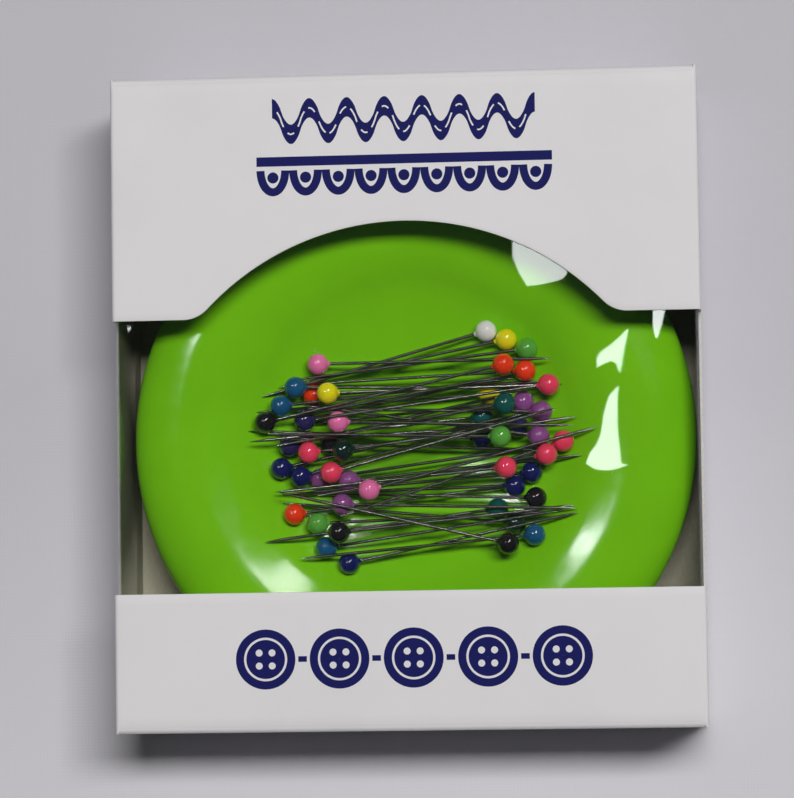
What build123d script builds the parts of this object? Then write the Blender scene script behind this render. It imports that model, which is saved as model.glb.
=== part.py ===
from build123d import *
import math
import os

# Magnetic pin cushion in a folding carton with a clear wrap-around window.
# Millimetres. The carton lies on its back panel: +Z goes up through the window,
# +Y towards the end that the cushion slides out of, +X to the right of the front.
# The origin is the centre of the back panel's outer face.

# ---------------------------------------------------------------- carton
W = 105.0          # width, X
H = 117.0          # height, Y
D = 31.0           # depth, Z
BOARD = 0.5        # thickness of the board
FILM = 0.25        # thickness of the clear film
WIN_TOP = 15.0     # upper edge of the window (Y)
WIN_BOT = -33.8    # lower edge of the window (Y)
WIN_SIDE_Z = 26.0   # the side windows run from here up to the front crease
ARCH_R = 48.9      # radius of the arch in the upper front panel
ARCH_TOP = 31.9    # crown of the arch (Y)
ARCH_FOOT_R = 6.0  # radius that turns the arch into the straight edge
FILM_TOP = 38.0    # the film runs a few millimetres past the window
FILM_BOT = -40.0
FILM_LEG_Z = 9.0
GLUE_FLAP_W = 13.0
CREASE_GAP = 0.1   # play in the hinged creases
TUCK_TOP = 9.0     # depth of the tuck tab at the top
TUCK_BOT = 8.0     # and at the bottom
TUCK_LEAN = 12.0   # degrees that a tuck tab leans in from the back panel
DUST_L = 26.0      # length of a dust flap
DUST_TAPER = 0.6   # slope of its edge beside the closure's hinge

# ---------------------------------------------------------------- cushion
CX, CY = 0.3, -6.1     # centre of the dish in the carton
DISH_R = 51.0          # girth radius
GIRTH_Z = 16.0         # height of the girth
RIM_R = 9.2            # width of the rolled rim, girth to crest
UNDER_R = 14.0         # radius of the underside, girth to foot
WALL = 2.0             # moulded wall
FLOOR_Z = 12.5         # top of the bowl's floor at its centre
BOWL_R1 = 90.0         # shallow arc of the floor
BOWL_R2 = 22.0         # arc up the side of the bowl
BOWL_A2 = 29.9         # steepest slope of the bowl, degrees
RIM_IN_R = 25.0        # radius of the rim's inner side, crest to bowl
FOOT_BOTTOM = 0.7      # rubber feet, a little above the board
BASE_Z0, BASE_Z1 = 2.0, 4.4
MAGNET_R, MAGNET_T = 22.0, 4.0
PLATE_T = 1.0
SCREW_AT = 29.0        # radius of the screw circle
SCREW_R = 1.5
SCREW_HEAD_R = 2.8
FOOT_AT = 29.0
FOOT_R = 4.5

# ---------------------------------------------------------------- pins
HEAD_R = 1.95          # plastic ball head
SHAFT_R = 0.30         # steel shaft
POINT_L = 4.0          # ground point
PIN_L = 42.5           # centre of the head to the point

# Colour, centre of the head, point of the shaft.
PINS = [
    ("pink", (-16.88, 7.57, 18.33), (25.59, 7.64, 19.94)),
    ("blue", (-20.89, 3.31, 20.09), (21.53, 2.57, 17.56)),
    ("orange_red", (-17.89, 1.99, 17.04), (24.57, 3.64, 17.88)),
    ("yellow", (-14.85, 2.05, 21.71), (27.45, 3.11, 17.77)),
    ("blue", (-23.54, -0.00, 19.99), (18.74, 4.20, 18.81)),
    ("black", (-26.40, -2.89, 20.14), (15.47, 4.33, 20.80)),
    ("violet", (-19.42, -2.59, 18.14), (22.20, 5.79, 16.25)),
    ("pink", (-13.10, -3.15, 21.05), (29.38, -4.56, 20.80)),
    ("violet", (-22.32, -7.12, 18.00), (19.23, 1.81, 17.96)),
    ("rose", (-18.65, -8.53, 19.75), (23.60, -4.05, 18.71)),
    ("dark_green", (-12.17, -8.32, 21.84), (29.91, -2.91, 19.23)),
    ("navy", (-23.85, -11.23, 18.03), (17.76, -2.58, 18.47)),
    ("navy", (-20.25, -12.80, 18.46), (20.83, -1.93, 17.79)),
    ("rose", (-14.54, -12.22, 20.49), (26.49, -1.50, 23.40)),
    ("purple", (-16.85, -13.14, 16.45), (25.29, -7.64, 16.30)),
    ("purple", (-11.56, -13.72, 18.35), (30.75, -9.83, 18.98)),
    ("pink", (-7.50, -15.55, 22.64), (33.62, -4.94, 21.06)),
    ("purple", (-12.64, -17.99, 19.99), (29.83, -19.42, 20.56)),
    ("orange_red", (-21.50, -19.56, 18.37), (20.62, -14.70, 15.48)),
    ("green", (-17.24, -21.34, 18.79), (25.23, -19.98, 19.66)),
    ("black", (-13.11, -23.13, 21.87), (29.11, -18.83, 19.56)),
    ("blue", (-15.74, -25.70, 18.26), (26.30, -19.86, 20.36)),
    ("navy", (-11.65, -28.58, 18.31), (29.94, -20.14, 20.66)),
    ("black", (-15.10, -6.88, 15.84), (27.33, -8.89, 17.25)),
    ("white", (13.66, 13.00, 17.62), (-27.32, 1.75, 17.84)),
    ("yellow", (17.32, 11.37, 17.94), (-24.42, 3.42, 16.81)),
    ("green", (21.07, 9.56, 18.53), (-21.16, 4.78, 18.36)),
    ("orange_red", (16.94, 6.62, 21.68), (-24.55, -2.57, 20.80)),
    ("orange_red", (20.71, 5.62, 18.65), (-21.68, 4.01, 16.04)),
    ("rose", (24.95, 2.94, 20.30), (-17.06, -2.71, 23.43)),
    ("purple", (20.21, 0.12, 16.99), (-22.13, -3.28, 15.62)),
    ("yellow", (14.06, 1.75, 15.92), (-28.30, -0.92, 18.02)),
    ("teal", (17.00, -0.37, 20.34), (-24.92, -7.34, 20.39)),
    ("purple", (23.53, -1.81, 18.32), (-18.95, -0.60, 18.98)),
    ("teal", (12.59, -2.42, 15.42), (-29.24, -6.53, 21.71)),
    ("navy", (19.12, -4.34, 16.53), (-23.18, -6.24, 20.18)),
    ("green", (16.24, -6.34, 21.68), (-26.23, -5.05, 20.72)),
    ("purple", (23.02, -6.26, 19.57), (-19.02, -0.02, 19.54)),
    ("navy", (12.57, -6.38, 15.34), (-29.76, -4.38, 18.63)),
    ("rose", (27.39, -7.23, 19.02), (-13.01, -20.28, 21.03)),
    ("rose", (24.42, -9.65, 21.06), (-17.51, -16.46, 19.62)),
    ("rose", (17.22, -11.93, 22.82), (-24.98, -15.60, 19.46)),
    ("navy", (21.55, -12.64, 17.33), (-20.82, -15.72, 16.23)),
    ("navy", (18.47, -15.06, 17.93), (-24.00, -15.90, 16.76)),
    ("black", (22.32, -17.36, 19.04), (-20.01, -15.73, 15.58)),
    ("teal", (15.31, -19.16, 17.46), (-26.73, -24.61, 20.60)),
    ("dark_green", (18.50, -21.77, 17.82), (-23.77, -17.50, 16.87)),
    ("blue", (22.00, -24.01, 19.56), (-20.34, -27.66, 20.21)),
    ("black", (17.32, -25.57, 21.61), (-24.00, -15.66, 22.49)),
]

os.makedirs("parts", exist_ok=True)


def save(name, shape):
    export_step(shape, f"parts/{name}.step")


def box(x0, x1, y0, y1, z0, z1):
    return Pos((x0 + x1) / 2, (y0 + y1) / 2, (z0 + z1) / 2) * Box(x1 - x0, y1 - y0, z1 - z0)


def plate_xy(points, z0, z1):
    """A flat sheet whose outline is given in X and Y."""
    face = make_face(Polyline(*[(x, y, z0) for x, y in points], close=True))
    return extrude(face, amount=z1 - z0, dir=(0, 0, 1))


def plate_yz(points, x0, x1):
    """A flat sheet whose outline is given in Y and Z."""
    face = make_face(Polyline(*[(x0, y, z) for y, z in points], close=True))
    return extrude(face, amount=x1 - x0, dir=(1, 0, 0))


def plate_xz(points, y0, y1):
    """A flat sheet whose outline is given in X and Z."""
    face = make_face(Polyline(*[(x, y0, z) for x, z in points], close=True))
    return extrude(face, amount=y1 - y0, dir=(0, 1, 0))


# ================================================================= carton
hw, hh = W / 2, H / 2

save("carton_back_panel", box(-hw, hw, -hh, hh, 0, BOARD))
save("carton_glue_flap", plate_xy(
    [(-hw + BOARD, -hh + 2), (-hw + BOARD + GLUE_FLAP_W, -hh + 7),
     (-hw + BOARD + GLUE_FLAP_W, hh - 7), (-hw + BOARD, hh - 2)], BOARD, 2 * BOARD))

# Side panels: a strip along the back and one block each side of the window.
side = [(-hh, BOARD), (hh, BOARD), (hh, D - BOARD), (WIN_TOP, D - BOARD),
        (WIN_TOP, WIN_SIDE_Z), (WIN_BOT, WIN_SIDE_Z), (WIN_BOT, D - BOARD), (-hh, D - BOARD)]
save("carton_left_side_panel", plate_yz(side, -hw, -hw + BOARD))
save("carton_right_side_panel", plate_yz(side, hw - BOARD, hw))

# Front panels.
upper = box(-hw, hw, WIN_TOP, hh, D - BOARD, D)
yc = ARCH_TOP - ARCH_R                       # centre of the arch circle
# centre of the foot arc: below the straight edge's line, outside the arch
foot_y = WIN_TOP + ARCH_FOOT_R
foot_x = math.sqrt((ARCH_R + ARCH_FOOT_R) ** 2 - (foot_y - yc) ** 2)
k = ARCH_R / (ARCH_R + ARCH_FOOT_R)
tx, ty = foot_x * k, yc + (foot_y - yc) * k  # tangent point of arch and foot
mid_a = math.atan2((ty + WIN_TOP) / 2 - foot_y, (tx + foot_x) / 2 - foot_x)
mx, my = foot_x + ARCH_FOOT_R * math.cos(mid_a), foot_y + ARCH_FOOT_R * math.sin(mid_a)
zf = D - BOARD
arch_wire = Wire([
    ThreePointArc((-tx, ty, zf), (0, ARCH_TOP, zf), (tx, ty, zf)),
    ThreePointArc((tx, ty, zf), (mx, my, zf), (foot_x, WIN_TOP, zf)),
    Line((foot_x, WIN_TOP, zf), (foot_x, WIN_TOP - 2, zf)),
    Line((foot_x, WIN_TOP - 2, zf), (-foot_x, WIN_TOP - 2, zf)),
    Line((-foot_x, WIN_TOP - 2, zf), (-foot_x, WIN_TOP, zf)),
    ThreePointArc((-foot_x, WIN_TOP, zf), (-mx, my, zf), (-tx, ty, zf)),
])
arch = extrude(make_face(arch_wire), amount=BOARD, dir=(0, 0, 1))
save("carton_front_upper_panel", upper - arch)
save("carton_front_lower_panel", box(-hw, hw, -hh, WIN_BOT, D - BOARD, D))

# Clear film: one sheet behind the window, folded back along both sides.
fz1 = D - BOARD
film = box(-hw + BOARD, hw - BOARD, FILM_BOT, FILM_TOP, FILM_LEG_Z, fz1)
film -= box(-hw + BOARD + FILM, hw - BOARD - FILM, FILM_BOT - 1, FILM_TOP + 1, FILM_LEG_Z - 1, fz1 - FILM)
save("window_film", film)


def closure(end, tuck):
    """End closure hinged at the front crease, with its tuck tab. end is +1 (top) or -1."""
    z_far = BOARD + 0.2
    lean = math.radians(TUCK_LEAN)
    c, s = math.cos(lean), math.sin(lean)
    y_out, y_in = hh, hh - BOARD
    z_near = D - BOARD - CREASE_GAP
    tip = (y_in - tuck * c, z_far + tuck * s)
    tip_up = (tip[0] + BOARD * s, tip[1] + BOARD * c)
    root_up = (y_in, z_far + BOARD / c + 0.02)
    # the panel, full width between the side panels
    panel = [(y_out, z_near), (y_out, z_far), (y_in, z_far), (y_in, z_near)]
    w1 = hw - BOARD - 0.3
    p = plate_yz([(end * y, z) for y, z in panel], -w1, w1)
    tab = [(y_in, z_far), tip, tip_up, root_up]
    w2 = hw - 6.5
    t = plate_yz([(end * y, z) for y, z in tab], -w2, w2)
    # rounded corners of the tuck tab
    r = tuck * 0.8
    for sx in (-1, 1):
        corner = box(min(sx * (w2 - r), sx * (w2 + 1)), max(sx * (w2 - r), sx * (w2 + 1)),
                     min(end * (y_in - tuck * c - 1), end * (y_in - tuck * c + r)),
                     max(end * (y_in - tuck * c - 1), end * (y_in - tuck * c + r)), z_far - 1, z_far + tuck)
        keep = Pos(sx * (w2 - r), end * (y_in - tuck * c + r), z_far) * Cylinder(r, 4 * tuck)
        t -= corner - keep
    return p + t


save("top_closure_flap", closure(1, TUCK_TOP))
save("bottom_closure_flap", closure(-1, TUCK_BOT))


def dust_flap(side, end):
    """Small flap folded in from a side panel, under the end closure."""
    y1 = hh - BOARD - 0.1
    y0 = y1 - BOARD
    x0 = hw - BOARD - 0.1
    z_top = D - BOARD - 0.3
    pts = [(0.0, BOARD + 0.3), (4.6, BOARD + 0.3), (6.2, 4.5), (DUST_L - 2, 4.5), (DUST_L, 6.5),
           (DUST_L, z_top - 0.4 - DUST_TAPER * DUST_L), (0.0, z_top - 0.4)]
    return plate_xz([(side * (x0 - l), z) for l, z in pts], min(end * y0, end * y1), max(end * y0, end * y1))


save("top_dust_flap_left", dust_flap(-1, 1))
save("top_dust_flap_right", dust_flap(1, 1))
save("bottom_dust_flap_left", dust_flap(-1, -1))
save("bottom_dust_flap_right", dust_flap(1, -1))

# ================================================================= cushion
# Section of the moulded dish, in radius and height: girth, rim, bowl, underside.
crest_r = DISH_R - RIM_R
crest_z = GIRTH_Z + RIM_R
a2 = math.radians(BOWL_A2)
# The convex arc of the rim's inner side, chosen so that the arcs meet with one tangent.
# floor arc (BOWL_R1) -> side arc (BOWL_R2) -> inner rim arc (rim_in_r)
rim_in_r = RIM_IN_R
r1 = (crest_r - (BOWL_R2 + rim_in_r) * math.sin(a2)) / (1 - BOWL_R2 / BOWL_R1)
a1 = math.asin(r1 / BOWL_R1)
z1 = FLOOR_Z + BOWL_R1 * (1 - math.cos(a1))
c2 = (r1 - BOWL_R2 * math.sin(a1), z1 + BOWL_R2 * math.cos(a1))
r2, z2 = c2[0] + BOWL_R2 * math.sin(a2), c2[1] - BOWL_R2 * math.cos(a2)
c3 = (r2 + rim_in_r * math.sin(a2), z2 - rim_in_r * math.cos(a2))
crest_in_z = c3[1] + rim_in_r
RIM_Z = crest_in_z                 # crest height that the bowl arcs give
rim_z_axis = RIM_Z - GIRTH_Z       # vertical half axis of the outer rim ellipse


def on(c, r, a):
    return (c[0] + r * math.sin(a), c[1] - r * math.cos(a))


def outer_rim(off, t):
    """Point of the outer rim ellipse, t from 0 at the crest to 1 at the girth."""
    a = t * math.pi / 2
    ax, az = RIM_R - off, rim_z_axis - off
    return (crest_r + ax * math.sin(a), GIRTH_Z + az * math.cos(a))


def section_points(off):
    """The dish's outer line moved inwards by off."""
    top = []
    o1 = (0.0, FLOOR_Z + BOWL_R1)
    for i in range(9):
        top.append(on(o1, BOWL_R1 + off, a1 * i / 8))
    for i in range(1, 9):
        top.append(on(c2, BOWL_R2 + off, a1 + (a2 - a1) * i / 8))
    for i in range(1, 7):
        a = a2 * (1 - i / 6)
        top.append((c3[0] - (rim_in_r - off) * math.sin(a), c3[1] + (rim_in_r - off) * math.cos(a)))
    return top


def dish_section():
    out_pts = section_points(0.0)
    in_pts = section_points(WALL)
    e_out = Spline(*[(r, 0, z) for r, z in out_pts], tangents=[(1, 0, 0), (1, 0, 0)])
    rim_out = Spline(*[(r, 0, z) for r, z in [outer_rim(0, i / 6) for i in range(7)]],
                     tangents=[(1, 0, 0), (0, 0, -1)])
    low_c = (DISH_R - UNDER_R, GIRTH_Z)
    low_out = ThreePointArc((DISH_R, 0, GIRTH_Z),
                            (low_c[0] + UNDER_R * math.cos(math.pi / 4), 0, GIRTH_Z - UNDER_R * math.sin(math.pi / 4)),
                            (low_c[0], 0, GIRTH_Z - UNDER_R))
    lip_out = Line((low_c[0], 0, GIRTH_Z - UNDER_R), (low_c[0], 0, GIRTH_Z - UNDER_R + WALL))
    ru = UNDER_R - WALL
    low_in = ThreePointArc((low_c[0], 0, GIRTH_Z - ru),
                           (low_c[0] + ru * math.cos(math.pi / 4), 0, GIRTH_Z - ru * math.sin(math.pi / 4)),
                           (DISH_R - WALL, 0, GIRTH_Z))
    rim_in = Spline(*[(r, 0, z) for r, z in [outer_rim(WALL, 1 - i / 6) for i in range(7)]],
                    tangents=[(0, 0, 1), (-1, 0, 0)])
    e_in = Spline(*[(r, 0, z) for r, z in reversed(in_pts)], tangents=[(-1, 0, 0), (-1, 0, 0)])
    axis = Line((0, 0, FLOOR_Z - WALL), (0, 0, FLOOR_Z))
    return make_face(Wire([e_out, rim_out, low_out, lip_out, low_in, rim_in, e_in, axis]))


def cyl(r, z0, z1, x=0.0, y=0.0):
    return Pos(x, y, (z0 + z1) / 2) * Cylinder(r, z1 - z0)


def polar(radius, degrees):
    a = math.radians(degrees)
    return radius * math.cos(a), radius * math.sin(a)


dish = revolve(dish_section(), Axis.Z, 360)

# Under the floor: a locating ring for the magnet and three screw bosses.
plate_top = FLOOR_Z - WALL - 0.2 - MAGNET_T
under = revolve(make_face(Wire(
    [Spline(*[(r, 0, z + 0.6) for r, z in section_points(WALL)[:16]]),
     Line((section_points(WALL)[15][0], 0, section_points(WALL)[15][1] + 0.6), (section_points(WALL)[15][0], 0, 0)),
     Line((section_points(WALL)[15][0], 0, 0), (0, 0, 0)),
     Line((0, 0, 0), (0, 0, FLOOR_Z - WALL + 0.6))])), Axis.Z, 360)
ring = (cyl(MAGNET_R + 1.7, plate_top - PLATE_T, 20) - cyl(MAGNET_R + 0.2, plate_top - PLATE_T - 1, 21)) & under
dish += ring
for a in (90, 210, 330):
    x, y = polar(SCREW_AT, a)
    dish += cyl(3.6, BASE_Z1, 22, x, y) & under
for a in (90, 210, 330):
    x, y = polar(SCREW_AT, a)
    dish -= cyl(SCREW_R, BASE_Z1 - 0.5, BASE_Z1 + 7.5, x, y)
save("dish_shell", Pos(CX, CY, 0) * dish)

cover = cyl(DISH_R - UNDER_R - 0.1, BASE_Z0, BASE_Z1)
for a in (90, 210, 330):
    x, y = polar(SCREW_AT, a)
    cover -= cyl(SCREW_R + 0.1, BASE_Z0 - 1, BASE_Z1 + 1, x, y)
    cover -= cyl(SCREW_HEAD_R + 0.1, BASE_Z0 - 1, BASE_Z0 + 1.4, x, y)
save("base_cover", Pos(CX, CY, 0) * cover)

# The magnet bears on the underside of the floor near its centre.
m_top = FLOOR_Z - WALL - 0.2
save("magnet_disc", Pos(CX, CY, 0) * cyl(MAGNET_R, m_top - MAGNET_T, m_top))
save("magnet_backing_plate", Pos(CX, CY, 0) * cyl(MAGNET_R, plate_top - PLATE_T, plate_top))
save("foam_pad", Pos(CX, CY, 0) * cyl(MAGNET_R - 2, BASE_Z1, plate_top - PLATE_T))

screws = []
for a in (90, 210, 330):
    x, y = polar(SCREW_AT, a)
    s = cyl(SCREW_HEAD_R, BASE_Z0 + 0.1, BASE_Z0 + 1.4, x, y) + cyl(SCREW_R, BASE_Z0 + 1.0, BASE_Z1 + 6.5, x, y)
    s -= box(x - 2.0, x + 2.0, y - 0.3, y + 0.3, BASE_Z0 - 0.5, BASE_Z0 + 0.8)
    s -= box(x - 0.3, x + 0.3, y - 2.0, y + 2.0, BASE_Z0 - 0.5, BASE_Z0 + 0.8)
    screws.append(Pos(CX, CY, 0) * s)
save("base_screws", Compound(children=screws))

feet = []
for a in (30, 150, 270):
    x, y = polar(FOOT_AT, a)
    feet.append(Pos(CX, CY, 0) * cyl(FOOT_R, FOOT_BOTTOM, BASE_Z0, x, y))
save("rubber_feet", Compound(children=feet))


# ================================================================= pins
def pin_frame(head, tip):
    h, t = Vector(*head), Vector(*tip)
    d = (t - h).normalized()
    return h, d


shafts = []
heads = {}
for colour, head, tip in PINS:
    h, d = pin_frame(head, tip)
    plane = Plane(origin=h, z_dir=d)
    start = 0.6
    body = plane * (Pos(0, 0, (start + PIN_L - POINT_L) / 2) * Cylinder(SHAFT_R, PIN_L - POINT_L - start))
    point = plane * (Pos(0, 0, PIN_L - POINT_L / 2) * Cone(SHAFT_R, 0.04, POINT_L))
    shafts.append(body + point)
    ball = plane * (Sphere(HEAD_R) - Pos(0, 0, start + 2) * Cylinder(SHAFT_R + 0.01, 4))
    heads.setdefault(colour, []).append(ball)
save("pin_shafts", Compound(children=shafts))
for colour, balls in heads.items():
    save("pin_heads_" + colour, Compound(children=balls) if len(balls) > 1 else balls[0])

print("crest height", round(RIM_Z, 2), "pins", len(PINS))
print("highest head", round(max(h[2] for _, h, _ in PINS) + HEAD_R, 2))
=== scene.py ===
import bpy
import math
import numpy as np
from mathutils import Matrix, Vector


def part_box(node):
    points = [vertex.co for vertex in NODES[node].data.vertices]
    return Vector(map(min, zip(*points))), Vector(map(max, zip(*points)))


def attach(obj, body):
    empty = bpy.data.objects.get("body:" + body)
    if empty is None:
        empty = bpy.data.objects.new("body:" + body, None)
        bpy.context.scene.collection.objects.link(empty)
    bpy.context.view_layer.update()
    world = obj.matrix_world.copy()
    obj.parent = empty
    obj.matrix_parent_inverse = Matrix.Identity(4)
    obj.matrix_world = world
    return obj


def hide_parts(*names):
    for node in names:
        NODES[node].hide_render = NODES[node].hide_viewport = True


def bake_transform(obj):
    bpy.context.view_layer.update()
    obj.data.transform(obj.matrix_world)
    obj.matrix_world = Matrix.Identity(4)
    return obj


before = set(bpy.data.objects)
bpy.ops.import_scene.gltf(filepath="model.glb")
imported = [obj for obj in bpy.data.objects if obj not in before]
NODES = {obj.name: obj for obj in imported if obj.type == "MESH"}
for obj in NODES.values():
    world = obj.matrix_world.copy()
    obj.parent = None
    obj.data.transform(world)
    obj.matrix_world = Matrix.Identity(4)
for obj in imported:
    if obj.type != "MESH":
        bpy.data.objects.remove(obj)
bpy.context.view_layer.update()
scene = bpy.context.scene
MM = 0.001

# ------------------------------------------------------------------ sizes, millimetres
W, H, D, BOARD, FILM = 105.0, 117.0, 31.0, 0.5, 0.25
HW, HH = W / 2, H / 2
WIN_TOP, WIN_BOT, WIN_SIDE_Z = 15.0, -33.8, 26.0
ARCH_R, ARCH_TOP, ARCH_FOOT_R = 48.9, 31.9, 6.0
FILM_TOP, FILM_BOT, FILM_LEG_Z = 38.0, -40.0, 9.0
CREASE_R = 0.7
ROLL_R = 1.0
CX, CY = 0.3, -6.1
DISH_R, GIRTH_Z, RIM_R, UNDER_R, WALL = 51.0, 16.0, 9.2, 14.0, 2.0
FLOOR_Z, BOWL_R1, BOWL_R2, BOWL_A2, RIM_IN_R = 12.5, 90.0, 22.0, math.radians(29.9), 25.0
HEAD_R, SHAFT_R, PIN_L, POINT_L = 1.95, 0.30, 42.5, 4.0

PINS = [
    ("pink", (-16.88, 7.57, 18.33), (25.59, 7.64, 19.94)),
    ("blue", (-20.89, 3.31, 20.09), (21.53, 2.57, 17.56)),
    ("orange_red", (-17.89, 1.99, 17.04), (24.57, 3.64, 17.88)),
    ("yellow", (-14.85, 2.05, 21.71), (27.45, 3.11, 17.77)),
    ("blue", (-23.54, -0.00, 19.99), (18.74, 4.20, 18.81)),
    ("black", (-26.40, -2.89, 20.14), (15.47, 4.33, 20.80)),
    ("violet", (-19.42, -2.59, 18.14), (22.20, 5.79, 16.25)),
    ("pink", (-13.10, -3.15, 21.05), (29.38, -4.56, 20.80)),
    ("violet", (-22.32, -7.12, 18.00), (19.23, 1.81, 17.96)),
    ("rose", (-18.65, -8.53, 19.75), (23.60, -4.05, 18.71)),
    ("dark_green", (-12.17, -8.32, 21.84), (29.91, -2.91, 19.23)),
    ("navy", (-23.85, -11.23, 18.03), (17.76, -2.58, 18.47)),
    ("navy", (-20.25, -12.80, 18.46), (20.83, -1.93, 17.79)),
    ("rose", (-14.54, -12.22, 20.49), (26.49, -1.50, 23.40)),
    ("purple", (-16.85, -13.14, 16.45), (25.29, -7.64, 16.30)),
    ("purple", (-11.56, -13.72, 18.35), (30.75, -9.83, 18.98)),
    ("pink", (-7.50, -15.55, 22.64), (33.62, -4.94, 21.06)),
    ("purple", (-12.64, -17.99, 19.99), (29.83, -19.42, 20.56)),
    ("orange_red", (-21.50, -19.56, 18.37), (20.62, -14.70, 15.48)),
    ("green", (-17.24, -21.34, 18.79), (25.23, -19.98, 19.66)),
    ("black", (-13.11, -23.13, 21.87), (29.11, -18.83, 19.56)),
    ("blue", (-15.74, -25.70, 18.26), (26.30, -19.86, 20.36)),
    ("navy", (-11.65, -28.58, 18.31), (29.94, -20.14, 20.66)),
    ("black", (-15.10, -6.88, 15.84), (27.33, -8.89, 17.25)),
    ("white", (13.66, 13.00, 17.62), (-27.32, 1.75, 17.84)),
    ("yellow", (17.32, 11.37, 17.94), (-24.42, 3.42, 16.81)),
    ("green", (21.07, 9.56, 18.53), (-21.16, 4.78, 18.36)),
    ("orange_red", (16.94, 6.62, 21.68), (-24.55, -2.57, 20.80)),
    ("orange_red", (20.71, 5.62, 18.65), (-21.68, 4.01, 16.04)),
    ("rose", (24.95, 2.94, 20.30), (-17.06, -2.71, 23.43)),
    ("purple", (20.21, 0.12, 16.99), (-22.13, -3.28, 15.62)),
    ("yellow", (14.06, 1.75, 15.92), (-28.30, -0.92, 18.02)),
    ("teal", (17.00, -0.37, 20.34), (-24.92, -7.34, 20.39)),
    ("purple", (23.53, -1.81, 18.32), (-18.95, -0.60, 18.98)),
    ("teal", (12.59, -2.42, 15.42), (-29.24, -6.53, 21.71)),
    ("navy", (19.12, -4.34, 16.53), (-23.18, -6.24, 20.18)),
    ("green", (16.24, -6.34, 21.68), (-26.23, -5.05, 20.72)),
    ("purple", (23.02, -6.26, 19.57), (-19.02, -0.02, 19.54)),
    ("navy", (12.57, -6.38, 15.34), (-29.76, -4.38, 18.63)),
    ("rose", (27.39, -7.23, 19.02), (-13.01, -20.28, 21.03)),
    ("rose", (24.42, -9.65, 21.06), (-17.51, -16.46, 19.62)),
    ("rose", (17.22, -11.93, 22.82), (-24.98, -15.60, 19.46)),
    ("navy", (21.55, -12.64, 17.33), (-20.82, -15.72, 16.23)),
    ("navy", (18.47, -15.06, 17.93), (-24.00, -15.90, 16.76)),
    ("black", (22.32, -17.36, 19.04), (-20.01, -15.73, 15.58)),
    ("teal", (15.31, -19.16, 17.46), (-26.73, -24.61, 20.60)),
    ("dark_green", (18.50, -21.77, 17.82), (-23.77, -17.50, 16.87)),
    ("blue", (22.00, -24.01, 19.56), (-20.34, -27.66, 20.21)),
    ("black", (17.32, -25.57, 21.61), (-24.00, -15.66, 22.49)),
]


# ================================================================== materials
def lin(c):
    """sRGB 0-255 to linear."""
    out = []
    for v in c:
        v = v / 255.0
        out.append(v / 12.92 if v <= 0.04045 else ((v + 0.055) / 1.055) ** 2.4)
    return out


def material(name):
    m = bpy.data.materials.new(name)
    m.use_nodes = True
    nt = m.node_tree
    return m, nt, nt.nodes["Principled BSDF"]


def coords(nt, scale=(1, 1, 1)):
    tc = nt.nodes.new("ShaderNodeTexCoord")
    mp = nt.nodes.new("ShaderNodeMapping")
    mp.inputs["Scale"].default_value = scale
    nt.links.new(tc.outputs["Object"], mp.inputs["Vector"])
    return mp.outputs["Vector"]


def noise(nt, vec, scale, detail=3.0, rough=0.5, distortion=0.0):
    n = nt.nodes.new("ShaderNodeTexNoise")
    n.inputs["Scale"].default_value = scale
    n.inputs["Detail"].default_value = detail
    n.inputs["Roughness"].default_value = rough
    n.inputs["Distortion"].default_value = distortion
    nt.links.new(vec, n.inputs["Vector"])
    return n.outputs["Fac"]


def ramp(nt, fac, stops):
    r = nt.nodes.new("ShaderNodeValToRGB")
    e = r.color_ramp.elements
    while len(e) < len(stops):
        e.new(0.5)
    for el, (p, c) in zip(e, stops):
        el.position = p
        el.color = (c[0], c[1], c[2], 1.0)
    nt.links.new(fac, r.inputs["Fac"])
    return r.outputs["Color"]


def span(nt, fac, lo, hi, f0=0.0, f1=1.0):
    mr = nt.nodes.new("ShaderNodeMapRange")
    mr.inputs["From Min"].default_value = f0
    mr.inputs["From Max"].default_value = f1
    mr.inputs["To Min"].default_value = lo
    mr.inputs["To Max"].default_value = hi
    nt.links.new(fac, mr.inputs["Value"])
    return mr.outputs["Result"]


def bump(nt, bs, heights):
    """heights: (socket, strength, distance in metres), chained."""
    prev = None
    for sock, strength, dist in heights:
        b = nt.nodes.new("ShaderNodeBump")
        b.inputs["Strength"].default_value = strength
        b.inputs["Distance"].default_value = dist
        nt.links.new(sock, b.inputs["Height"])
        if prev is not None:
            nt.links.new(prev, b.inputs["Normal"])
        prev = b.outputs["Normal"]
    nt.links.new(prev, bs.inputs["Normal"])


def board_coated():
    m, nt, bs = material("board_coated")
    v = coords(nt)
    cloud = noise(nt, v, 38.0, 5.0, 0.6)
    col = ramp(nt, cloud, [(0.30, (0.775, 0.757, 0.772)), (0.55, (0.800, 0.783, 0.795)), (0.8, (0.815, 0.802, 0.808))])
    nt.links.new(col, bs.inputs["Base Color"])
    rub = noise(nt, v, 160.0, 4.0, 0.65)
    nt.links.new(span(nt, rub, 0.46, 0.62, 0.3, 0.7), bs.inputs["Roughness"])
    bs.inputs["IOR"].default_value = 1.45
    bs.inputs["Coat Weight"].default_value = 0.05
    bs.inputs["Coat Roughness"].default_value = 0.28
    fine = noise(nt, v, 5200.0, 3.0, 0.6)
    wave = noise(nt, v, 90.0, 2.0, 0.5)
    bump(nt, bs, [(wave, 0.35, 0.00012), (fine, 0.16, 0.00004)])
    return m


def board_raw(name, lo, hi, fibre=2600.0):
    m, nt, bs = material(name)
    v = coords(nt, (1.0, 0.35, 1.0))
    n = noise(nt, v, fibre, 6.0, 0.7)
    nt.links.new(ramp(nt, n, [(0.28, lo), (0.72, hi)]), bs.inputs["Base Color"])
    nt.links.new(span(nt, n, 0.72, 0.92), bs.inputs["Roughness"])
    bump(nt, bs, [(n, 0.4, 0.00006)])
    return m


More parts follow.
